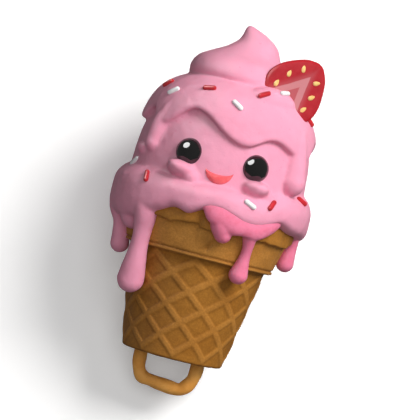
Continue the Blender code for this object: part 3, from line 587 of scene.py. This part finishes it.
def red_jelly():
    f = Finish("red jelly", 0.22, Subsurface_Weight=0.4, Subsurface_Scale=0.0012,
               Subsurface_Radius=(1.0, 0.2, 0.2), Coat_Weight=0.4, Coat_Roughness=0.08)
    cloud = f.spread(f.noise(0.002, 2), 0.3, 0.7)
    f.colour(f.blend(cloud, (0.78, 0.105, 0.120), (0.86, 0.16, 0.175)))
    f.bumps((f.noise(0.0015, 2), 0.00006))
    return f.material


def sugar(name, light, dark):
    f = Finish(name, 0.38, Specular_IOR_Level=0.5, Coat_Weight=0.15, Coat_Roughness=0.25)
    f.colour(f.blend(f.spread(f.noise(0.002, 2), 0.3, 0.7), dark, light))
    f.bumps((f.noise(0.0006, 3), 0.00005))
    return f.material


def pale_table():
    """The table glows faintly, so that the shadows on it stay pale."""
    f = Finish("pale table", 0.75, Specular_IOR_Level=0.2, Emission_Color=(1, 1, 1, 1),
               Emission_Strength=TABLE_GLOW)
    f.colour(f.blend(f.noise(0.2, 2), (0.94, 0.94, 0.94), (0.96, 0.96, 0.96)))
    return f.material


# Ice cream
def body_place(share, angle):
    under = 0.12
    if share < under:
        return around(angle, BODY_PROFILE[0][1] * share / under, BODY_PROFILE[0][0])
    height, radius = along(BODY_PROFILE, (share - under) / (1 - under))
    return around(angle, radius, height)


def cap_place(share, angle):
    edge = wave_between(CAP_EDGE, angle)
    under = 0.3
    if share < under:
        inward = share / under
        radius = smoothly_between(CAP_PROFILE, edge)[0] - CAP_ROUNDING
        return around(angle, radius * inward, edge + 0.0070 * (1 - inward))
    up = (share - under) / (1 - under)
    height = edge + (CAP_PROFILE[-1][0] - edge) * math.sin(up ** 1.2 * math.pi / 2)
    radius = smoothly_between(CAP_PROFILE, height)[0]
    left = max(CAP_ROUNDING - (height - edge), 0.0)
    radius -= CAP_ROUNDING - math.sqrt(CAP_ROUNDING ** 2 - left ** 2)
    return around(angle, radius, height)


def tier_place(share, angle):
    height, radius, right, front = along(TIER_PROFILE, share)
    swirl = 1 + 0.035 * math.sin(math.radians(angle) + 260 * height)
    return around(angle, radius * swirl, height) + Vector((right, -front, 0))


def skirt():
    """The thick wavy roll that bulges over the lip."""
    pick_only()
    bpy.ops.mesh.primitive_torus_add(major_segments=200, minor_segments=48,
                                     major_radius=2, minor_radius=1)
    obj = named("skirt")
    for vert in obj.data.vertices:
        angle = angle_of(vert.co)
        roll = math.atan2(vert.co.z, math.hypot(vert.co.x, vert.co.y) - 2)
        middle, edge = smoothly_between(SKIRT_EDGE, angle)
        swell = 1
        for count, shift, depth in SKIRT_SWELLS:
            swell += depth * math.sin(count * math.radians(angle) + shift)
        square = 0.5 if math.sin(roll) < 0 else 1.0
        out = math.copysign(abs(math.cos(roll)) ** square, math.cos(roll)) * SKIRT_THICKNESS
        up = math.copysign(abs(math.sin(roll)) ** square, math.sin(roll))
        dip = SKIRT_TOP_DIP * peak(angle - SKIRT_DIP_ANGLE, SKIRT_DIP_HALF_WIDTH)
        height = middle + up * ((middle - edge) / SKIRT_REACH if up < 0 else SKIRT_TOP * (1 - dip))
        vert.co = around(angle, SKIRT_RADIUS + out * swell, height)
    return obj


def drip_line(drip):
    """(point, radius) pairs down a drip, with round ends."""
    numbered = [(i, *row) for i, row in enumerate(drip)]
    steps = 12 * (len(drip) - 1)
    line = []
    for k in range(steps + 1):
        angle, radius, height, thickness = smoothly_between(numbered, k * (len(drip) - 1) / steps)
        line.append((around(angle, radius, height), thickness))
    end, thickness = line[-1]
    heading = (end - line[-2][0]).normalized()
    for share in (0.2, 0.4, 0.6, 0.75, 0.87, 0.95, 0.99):
        line.append((end + heading * thickness * share, thickness * math.sqrt(1 - share ** 2)))
    return line


def drip_ball(drip, flat=1.0):
    """A drip as a long ball: each ring goes round one point of its line."""
    line = drip_line(drip)
    rings = len(line) + 1

    def place(share, angle):
        ring = round(share * rings)
        index = min(max(len(line) - ring, 0), len(line) - 1)
        point, radius = line[index]
        if ring in (0, rings):
            return point
        ahead = line[min(index + 1, len(line) - 1)][0] - line[max(index - 1, 0)][0]
        outward = Vector((point.x, point.y, 0)).normalized()
        across = ahead.cross(outward).normalized()
        outward = across.cross(ahead).normalized()
        turn = math.radians(angle)
        return point + radius * (flat * math.cos(turn) * outward + math.sin(turn) * across)

    return ball("drip", 24, rings, place)


def lump(centre, half_width, half_height, half_depth, tip=0.0, sag=1.0):
    """A rounded lump facing outwards, tipped round the way it faces, its lower half drawn down."""
    centre = Vector(centre)
    place = (Matrix.Translation(centre) @ Matrix.Rotation(math.radians(angle_of(centre)), 4, "Z")
             @ Matrix.Rotation(math.radians(tip), 4, "Y")
             @ Matrix.Diagonal((half_width, half_depth, half_height, 1)))
    return ball("lump", 32, 20, lambda share, angle: place @ on_ball(share, angle, sag))


def make_ice_cream():
    shapes = [ball("body", 180, 80, body_place), ball("cap", 300, 110, cap_place),
              ball("tier", 160, 90, tier_place), skirt()]
    shapes += [drip_ball(drip) for drip in CREAM_DRIPS]
    shapes += [lump(on_scoop(x, height, PUFF_DEPTH), *form) for x, height, *form in PUFFS]
    shapes.append(lump(around(*SIDE_FOLD), *SIDE_FOLD_SIZE))
    shapes.append(lump(BERRY_BED, *BERRY_BED_SIZE))
    obj = melted("ice_cream_scoop", shapes, CREAM_VOXEL, 5)
    roughen(obj, *CREAM_GRAIN)
    return obj


# Strawberry sauce
def make_sauce():
    runs = [drip_ball(SAUCE_BAND, flat=0.6)] + [drip_ball(line) for line in SAUCE_DRIPS]
    return melted("strawberry_sauce_run", runs, SAUCE_VOXEL, 16)


# Wafer cone
def line_distance(angle, height):
    """How far a place on the wall is from the nearest line of the waffle's closed diamonds."""
    across = angle * DIAMONDS_AROUND / 360
    up = (height - LATTICE_START) / DIAMOND_HEIGHT
    line = 1 / math.hypot(DIAMONDS_AROUND / (2 * math.pi * LATTICE_RADIUS), 1 / DIAMOND_HEIGHT)
    beyond = abs(across - round(across)) - min(up, DIAMONDS_UP - up)
    if beyond > 0:
        return beyond * line
    return min(abs(s - round(s)) * line for s in (across + up, across - up))


def ridge_share(angle, height):
    """How much of a waffle ridge there is at a place on the wall, 0 in a cell and 1 on a ridge."""
    distance = line_distance(angle, height)
    return 1 - ramp(RIDGE_HALF_WIDTH - 0.0003, RIDGE_HALF_WIDTH + RIDGE_SLOPE, distance)


def crack_share(angle, height):
    """How open the collar's slanting crack is, 0 beside it and 1 in its middle."""
    (low_end, low), (high_end, high) = CRACK_ENDS
    middle = CRACK_ANGLE + (height - CRACK_HEIGHT) * CRACK_SLANT
    open_here = ramp(low_end, low, height) * ramp(high_end, high, height)
    return peak(angle - middle, CRACK_HALF_WIDTH) * open_here


def from_edge(height, radius, steps):
    return [(height + up, radius + out) for up, out in steps]


def cone_profile(angle):
    """(height, radius) points from the middle of the foot, up the outside, over the lip and in."""
    points = [(0.0, 0.0), (0.0, 0.6 * BASE_RADIUS)]
    points += [(height, BASE_RADIUS - inward) for height, inward in FOOT_EDGE]
    for i in range(WALL_STEPS + 1):
        height = WALL_FOOT + (NECK_HEIGHT - WALL_FOOT) * i / WALL_STEPS
        radius = BASE_RADIUS + (NECK_RADIUS - BASE_RADIUS) * height / NECK_HEIGHT
        points.append((height, radius + RIDGE_HEIGHT * ridge_share(angle, height)))

    chip = uneven(angle, LIP_CHIPS)
    lip_foot = wave_between(LIP_EDGE, angle) + chip
    points.append((COLLAR_FOOT_HEIGHT, NECK_RADIUS + UNDERSIDE_START))
    points += from_edge(COLLAR_FOOT_HEIGHT, COLLAR_FOOT_RADIUS, COLLAR_EDGE)
    start, start_radius = points[-1]
    for i in range(1, COLLAR_STEPS + 1):
        share = i / COLLAR_STEPS
        height = start + (lip_foot - 0.0002 - start) * share
        radius = start_radius + (COLLAR_TOP_RADIUS - COLLAR_FOOT_RADIUS) * share
        points.append((height, radius - CRACK_DEPTH * crack_share(angle, height)))

    out = LIP_RADIUS + uneven(angle, LIP_WAVES)
    out -= NOTCH_DEPTH * peak(angle - NOTCH_ANGLE, NOTCH_HALF_WIDTH)
    points.append((lip_foot - 0.0001, COLLAR_TOP_RADIUS + UNDERSIDE_START))
    points += from_edge(lip_foot, out, LIP_LOWER_EDGE)
    for share in (0.3, 0.45, 0.6, 0.75):
        wobble = LIP_WOBBLE * math.sin(share * 6 + angle / 20)
        points.append((lip_foot + (LIP_TOP_HEIGHT - lip_foot) * share, out + wobble))
    top = LIP_TOP_HEIGHT + chip
    points += from_edge(top, out, LIP_TOP_EDGE) + from_edge(top, LIP_INNER_RADIUS, LIP_INNER_EDGE)

    return points + [
        (COLLAR_FOOT_HEIGHT, COLLAR_FOOT_RADIUS - SHELL_THICKNESS),
        (NECK_HEIGHT - SHELL_THICKNESS, NECK_RADIUS - SHELL_THICKNESS),
        (FLOOR_THICKNESS, BASE_RADIUS - 0.0020), (FLOOR_THICKNESS, 0.008), (FLOOR_THICKNESS, 0.0),
    ]


def make_cone():
    profiles = [cone_profile(360 * i / CONE_SEGMENTS - 180) for i in range(CONE_SEGMENTS)]
    rings = len(profiles[0]) - 1

    def place(share, angle):
        profile = profiles[round((angle + 180) * CONE_SEGMENTS / 360) % CONE_SEGMENTS]
        height, radius = profile[round(share * rings)]
        return around(angle, radius, height)

    cone = ball("wafer_cone_shell", CONE_SEGMENTS, rings, place)
    # The first attribute holds the ridges' own lighter tone, with painted light on the collar and
    # painted shade on the lip; the second holds the wafer's browning and painted shade
    cone.data.attributes.new("ridge", "FLOAT", "POINT")
    cone.data.attributes.new("browned_and_painted_shade", "FLOAT", "POINT")
    ridge, browned_and_painted_shade = cone.data.attributes["ridge"], cone.data.attributes["browned_and_painted_shade"]
    for vert in cone.data.vertices:
        angle = angle_of(vert.co)
        height = vert.co.z
        on_wall = height < NECK_HEIGHT + 0.0003
        on_lip = height > wave_between(LIP_EDGE, angle)
        # The collar gets all of the lighter colour as painted light against the cream's shadow, and
        # the lip gets little of it as painted shade; on the wall only the ridges get it, as their
        # own tone
        if on_wall:
            lighter = TONE_AND_PAINTED_LIGHT_AND_SHADE["ridge"] * ridge_share(angle, height)
        else:
            lighter = TONE_AND_PAINTED_LIGHT_AND_SHADE["lip" if on_lip else "collar"]
        ridge.data[vert.index].value = lighter

        # Painted shade in the collar's groove, along the neck under the collar and beside each
        # ridge, darker at the foot's edge, and the wafer's own browning in patches
        brown_and_painted_shade = BROWNED_AND_PAINTED_SHADE["foot"] * ramp(0.0008, 0.0002, height)
        above_groove = height - COLLAR_FOOT_HEIGHT - GROOVE_RISE
        brown_and_painted_shade += BROWNED_AND_PAINTED_SHADE["groove"] * peak(above_groove, LINE_HALF_HEIGHT)
        brown_and_painted_shade += BROWNED_AND_PAINTED_SHADE["neck"] * peak(height - NECK_HEIGHT - 0.0003, LINE_HALF_HEIGHT)
        brown_and_painted_shade += BROWNED_AND_PAINTED_SHADE["patches"] * ramp(0.2, 0.6, noise.noise(vert.co * 130))
        if on_wall:
            beside = line_distance(angle, height) - RIDGE_HALF_WIDTH
            narrow = ramp(0.0, 0.0004, beside) * ramp(0.0016, 0.0006, beside)
            brown_and_painted_shade += BROWNED_AND_PAINTED_SHADE["beside a ridge"] * narrow
        browned_and_painted_shade.data[vert.index].value = min(1.0, brown_and_painted_shade)
    roughen(cone, *WAFER_GRAIN)
    return cone


# Biscuit loop
def loop_line():
    line = []
    for i in range(LOOP_STEPS + 1):
        turn = math.pi * (1 + i / LOOP_STEPS)
        x = math.copysign(abs(math.cos(turn)) ** LOOP_SQUARENESS, math.cos(turn)) * LOOP_HALF_WIDTH
        z = -abs(math.sin(turn)) ** LOOP_SQUARENESS * LOOP_DEPTH
        sway = LOOP_SWAY * math.sin(5 * turn + 1) * math.sin(turn)
        line.append(Vector((x * (1 - LOOP_TAPER * x / LOOP_HALF_WIDTH), 0, z + sway)))
    ends = [Vector((point.x, 0, SOCKET_DEPTH)) for point in (line[0], line[-1])]
    return [ends[0], *line, ends[1]]


def make_loop():
    line = loop_line()
    rings = len(line) + 1

    def place(share, angle):
        ring = round(share * rings)
        index = min(max(ring - 1, 0), len(line) - 1)
        point = line[index]
        if ring in (0, rings):
            return point
        ahead = (line[min(index + 1, len(line) - 1)] - line[max(index - 1, 0)]).normalized()
        across = ahead.cross(Vector((0, 1, 0)))
        turn = math.radians(angle)
        swell = 1 + 0.05 * math.sin(index * 0.45) + 0.04 * noise.noise(point * 260)
        thick = LOOP_THICKNESS / 2 * swell
        return point + thick * (math.cos(turn) * Vector((0, 1, 0)) + math.sin(turn) * across)

    loop = ball("biscuit_loop_bar", 32, rings, place)
    face_outwards(loop)
    finer = loop.modifiers.new("finer", "SUBSURF")
    finer.levels = finer.render_levels = 1
    apply_modifiers(loop)
    roughen(loop, (0.0042, 0.00022))
    return loop


# Strawberry slice
def slice_outline(turn):
    """The point of the slice's outline that a turn of 0 to 1 gives, from the stem end and back."""
    left = [(-x, y) for x, y in reversed(BERRY_OUTLINE[1:-1])]
    points = BERRY_OUTLINE + left
    count = len(points)
    i = int(turn * count) % count
    t = turn * count - int(turn * count)
    return curve_through(*(Vector(points[(i + k) % count]) for k in (-1, 0, 1, 2)), t)


def slice_matrix():
    lean = Matrix.Rotation(math.radians(BERRY_LEAN), 4, "Y")
    tilt = Matrix.Rotation(math.radians(-BERRY_TILT_BACK), 4, "X")
    turn = Matrix.Rotation(math.radians(BERRY_TURN), 4, "Z")
    upright = Matrix.Rotation(math.radians(90), 4, "X")
    return Matrix.Translation(BERRY_BASE) @ turn @ tilt @ lean @ upright


def make_slice():
    half = BERRY_THICKNESS / 2
    middle = Vector((0, 0.0120))
    front = [(0.0, half - 0.00025), (0.25, half - 0.0002), (0.5, half - 0.0001), (0.7, half),
             (0.82, half), (0.90, half - 0.0001), (0.955, half - 0.0004), (0.985, half - 0.0009),
             (1.0, 0.0004)]
    rows = [(scale, -height) for scale, height in front] + front[::-1]
    rings = len(rows) - 1

    def place(share, angle):
        scale, height = rows[round(share * rings)]
        x, y = middle + (slice_outline((angle + 180) / 360) - middle) * scale
        return Vector((x, y, height + 0.0002 * math.sin(y * 300) * (x / 0.01)))

    berry = ball("strawberry_slice_cut", 144, rings, place)
    face_outwards(berry)
    berry.data.attributes.new("slice_place", "FLOAT_VECTOR", "POINT")
    berry.data.attributes.new("rim", "FLOAT", "POINT")
    where, rim = berry.data.attributes["slice_place"], berry.data.attributes["rim"]
    outline = [slice_outline(i / 144) for i in range(144)]
    for vert in berry.data.vertices:
        where.data[vert.index].vector = vert.co
        flat = Vector(vert.co[:2])
        inset = min((flat - point).length for point in outline)
        rim.data[vert.index].value = ramp(0.0009, 0.0004, inset)
    return berry


def make_seeds():
    seeds = []
    for x, y, tip in BERRY_SEEDS:
        for side in (-1, 1):
            middle = Vector((x, y, side * (BERRY_THICKNESS / 2 - 0.0001)))
            turn = Matrix.Rotation(math.radians(tip), 4, "Z")

            def place(share, angle, middle=middle, turn=turn):
                rise = math.pi * (share - 0.5)
                spin = math.radians(angle)
                wide = 0.00082 * math.cos(rise) * (1 - 0.25 * math.sin(rise))
                return middle + turn @ Vector((wide * math.sin(spin), 0.00140 * math.sin(rise),
                                               0.55 * wide * math.cos(spin)))

            seeds.append(ball("seed", 12, 10, place))
    obj = joined("strawberry_seeds", seeds)
    face_outwards(obj)
    return obj


# Candy
def make_bead(side):
    centre = on_scoop(*BEADS[side], BEAD_DEPTH)

    def place(share, angle):
        point = on_ball(share, angle)
        uneven_by = 1 + 0.006 * noise.noise(point * 1.5 + centre * 300)
        return centre + point * (BEAD_RADIUS * uneven_by)

    return ball("candy_pearl_" + side, 64, 40, place)


def make_crescent():
    def place(share, angle):
        along_it = -math.cos(math.pi * share)
        bow = math.sqrt(max(0.0, 1 - along_it ** 2))
        turn = math.radians(angle)
        out, up = math.cos(turn) * bow ** 0.7, math.sin(turn) * bow
        rise = -(CRESCENT_DROP + CRESCENT_DIP) / 2 * bow + up * (CRESCENT_DROP - CRESCENT_DIP) / 2
        bend = math.degrees(along_it * CRESCENT_HALF_WIDTH / CRESCENT_DEPTH)
        return around(bend, CRESCENT_DEPTH + out * CRESCENT_THICKNESS / 2, CRESCENT_HEIGHT + rise)

    obj = ball("jelly_crescent_candy", 40, 60, place)
    face_outwards(obj)
    return obj


# Sugar strands
def strand_places(tree):
    """(placement, red or not) of the strands on the ice cream, shown ones first."""
    rays = [(Vector((x, -0.1, height)), Vector((0, 1, 0)), turn, red)
            for x, height, turn, red in SHOWN_STRANDS]
    draw = random.Random(STRAND_SEED)
    for i in range(HIDDEN_STRANDS):
        angle = 105 + 150 * (i + 0.6 * draw.random()) / HIDDEN_STRANDS
        height = HIDDEN_HEIGHTS[i % 3] + 0.002 * draw.random()
        start = around(angle, 0.1, height)
        inwards = Vector((-start.x, -start.y, 0)).normalized()
        rays.append((start, inwards, 180 * draw.random(), i % 2 == 0))
    for start, heading, turn, red in rays:
        place, normal, _, _ = tree.ray_cast(start, heading)
        across = Vector((0, 0, 1)).cross(normal).normalized()
        up = normal.cross(across)
        spin = math.radians(turn)
        lie = (across * math.cos(spin) + up * math.sin(spin)).normalized()
        turned = Matrix((normal.cross(lie), normal, lie)).transposed().to_4x4()
        yield Matrix.Translation(place + normal * 0.0003) @ turned, red


def strand(matrix):
    straight = STRAND_LENGTH / 2 - STRAND_RADIUS

    def place(share, angle):
        point = on_ball(share, angle) * STRAND_RADIUS
        point.z += math.copysign(straight, share - 0.5)
        return matrix @ point

    return ball("strand", 16, 11, place)


def make_strands(scoop):
    tree = BVHTree.FromPolygons([vert.co for vert in scoop.data.vertices],
                                [polygon.vertices for polygon in scoop.data.polygons])
    red, white = [], []
    for matrix, is_red in strand_places(tree):
        (red if is_red else white).append(strand(matrix))
    return joined("sugar_strands_red", red), joined("sugar_strands_white", white)


# Light, table and camera
def area_light(name, place, aim, size, power, colour=(1, 1, 1)):
    pick_only()
    spot, target = LYING @ Vector(place), LYING @ Vector(aim)
    bpy.ops.object.light_add(type="AREA", location=spot)
    light = named(name)
    light.rotation_euler = (target - spot).to_track_quat("-Z", "Y").to_euler()
    light.data.shape = "DISK"
    light.data.size = size
    light.data.energy = power
    light.data.color = colour
    return light


def camera_frame():
    """The camera's right, up and back in the standing frame."""
    lean = math.radians(CAMERA_LEAN)
    right = Vector((math.cos(lean), 0, math.sin(lean)))
    up = Vector((-math.sin(lean), 0, math.cos(lean)))
    return right, up, Vector((0, -1, 0))


def make_camera():
    pick_only()
    bpy.ops.object.camera_add()
    camera = named("camera")
    camera.data.lens = LENS
    camera.data.sensor_width = SENSOR
    camera.data.clip_start = 0.01
    placed = Matrix(camera_frame()).transposed().to_4x4()
    placed.translation = Vector((CAMERA_AIM[0], -SHOWN_WIDTH * LENS / SENSOR, CAMERA_AIM[1]))
    camera.matrix_world = LYING @ placed
    bpy.context.scene.camera = camera


def from_camera(right, up, back, distance):
    """A standing place that is this way from the middle, as the camera sees it."""
    r, u, b = camera_frame()
    return Vector(LIGHT_AIM) + (r * right + u * up + b * back).normalized() * distance


def make_light():
    key = area_light("key", from_camera(0.66, 0.46, 0.60, distance=0.75), LIGHT_AIM,
                     size=0.45, power=6.8, colour=(1.0, 0.985, 0.97))
    fill = area_light("fill", from_camera(0.05, 0.05, 1.0, distance=0.90), LIGHT_AIM,
                      size=0.60, power=2.3)
    key.visible_glossy = fill.visible_glossy = False
    # The one light that shiny things mirror: it shows in them alone
    glint = area_light("glint", from_camera(-0.40, 0.80, 0.44, distance=0.60), (0, -0.03, 0.072),
                       size=0.50, power=6.2)
    glint.visible_diffuse = False
    world = bpy.data.worlds.new("soft room")
    bpy.context.scene.world = world
    world.use_nodes = True
    background = world.node_tree.nodes["Background"]
    background.inputs["Color"].default_value = (1, 1, 1, 1)
    background.inputs["Strength"].default_value = ROOM_STRENGTH


def make_table():
    pick_only()
    bpy.ops.mesh.primitive_plane_add(size=6)
    table = named("table")
    table.data.materials.append(pale_table())
    # It throws no light back on what lies on it, as in a studio with dark flags below
    table.visible_diffuse = False
    table.visible_glossy = False


def main():
    scoop = make_ice_cream()
    red, white = make_strands(scoop)
    cream = strawberry_ice_cream()
    belongs(lay_down(scoop), cream, "strawberry_ice_cream", "ice_cream")
    red_sugar = sugar("red sugar", (0.55, 0.025, 0.034), (0.46, 0.018, 0.026))
    white_sugar = sugar("white sugar", (0.86, 0.86, 0.86), (0.76, 0.76, 0.77))
    belongs(lay_down(red), red_sugar, "strawberry_ice_cream")
    belongs(lay_down(white), white_sugar, "strawberry_ice_cream")
    belongs(lay_down(make_sauce()), strawberry_sauce(), "strawberry_sauce", "strawberry_sauce")
    belongs(lay_down(make_cone()), baked_wafer(), "wafer", "wafer_cone")
    belongs(lay_down(make_loop()), baked_biscuit(), "biscuit", "biscuit_loop")

    place = slice_matrix()
    berry, seeds = make_slice(), make_seeds()
    for obj in (berry, seeds):
        obj.data.transform(place)
    belongs(lay_down(berry), cut_strawberry(), "strawberry", "strawberry_slice")
    belongs(lay_down(seeds), seed_finish(), "strawberry")

    black = black_candy()
    for side in BEADS:
        belongs(lay_down(make_bead(side)), black, "black_candy", "candy_bead_" + side)
    belongs(lay_down(make_crescent()), red_jelly(), "red_jelly", "jelly_crescent")

    make_table()
    make_light()
    make_camera()
    bpy.context.scene.view_settings.view_transform = "Standard"


main()
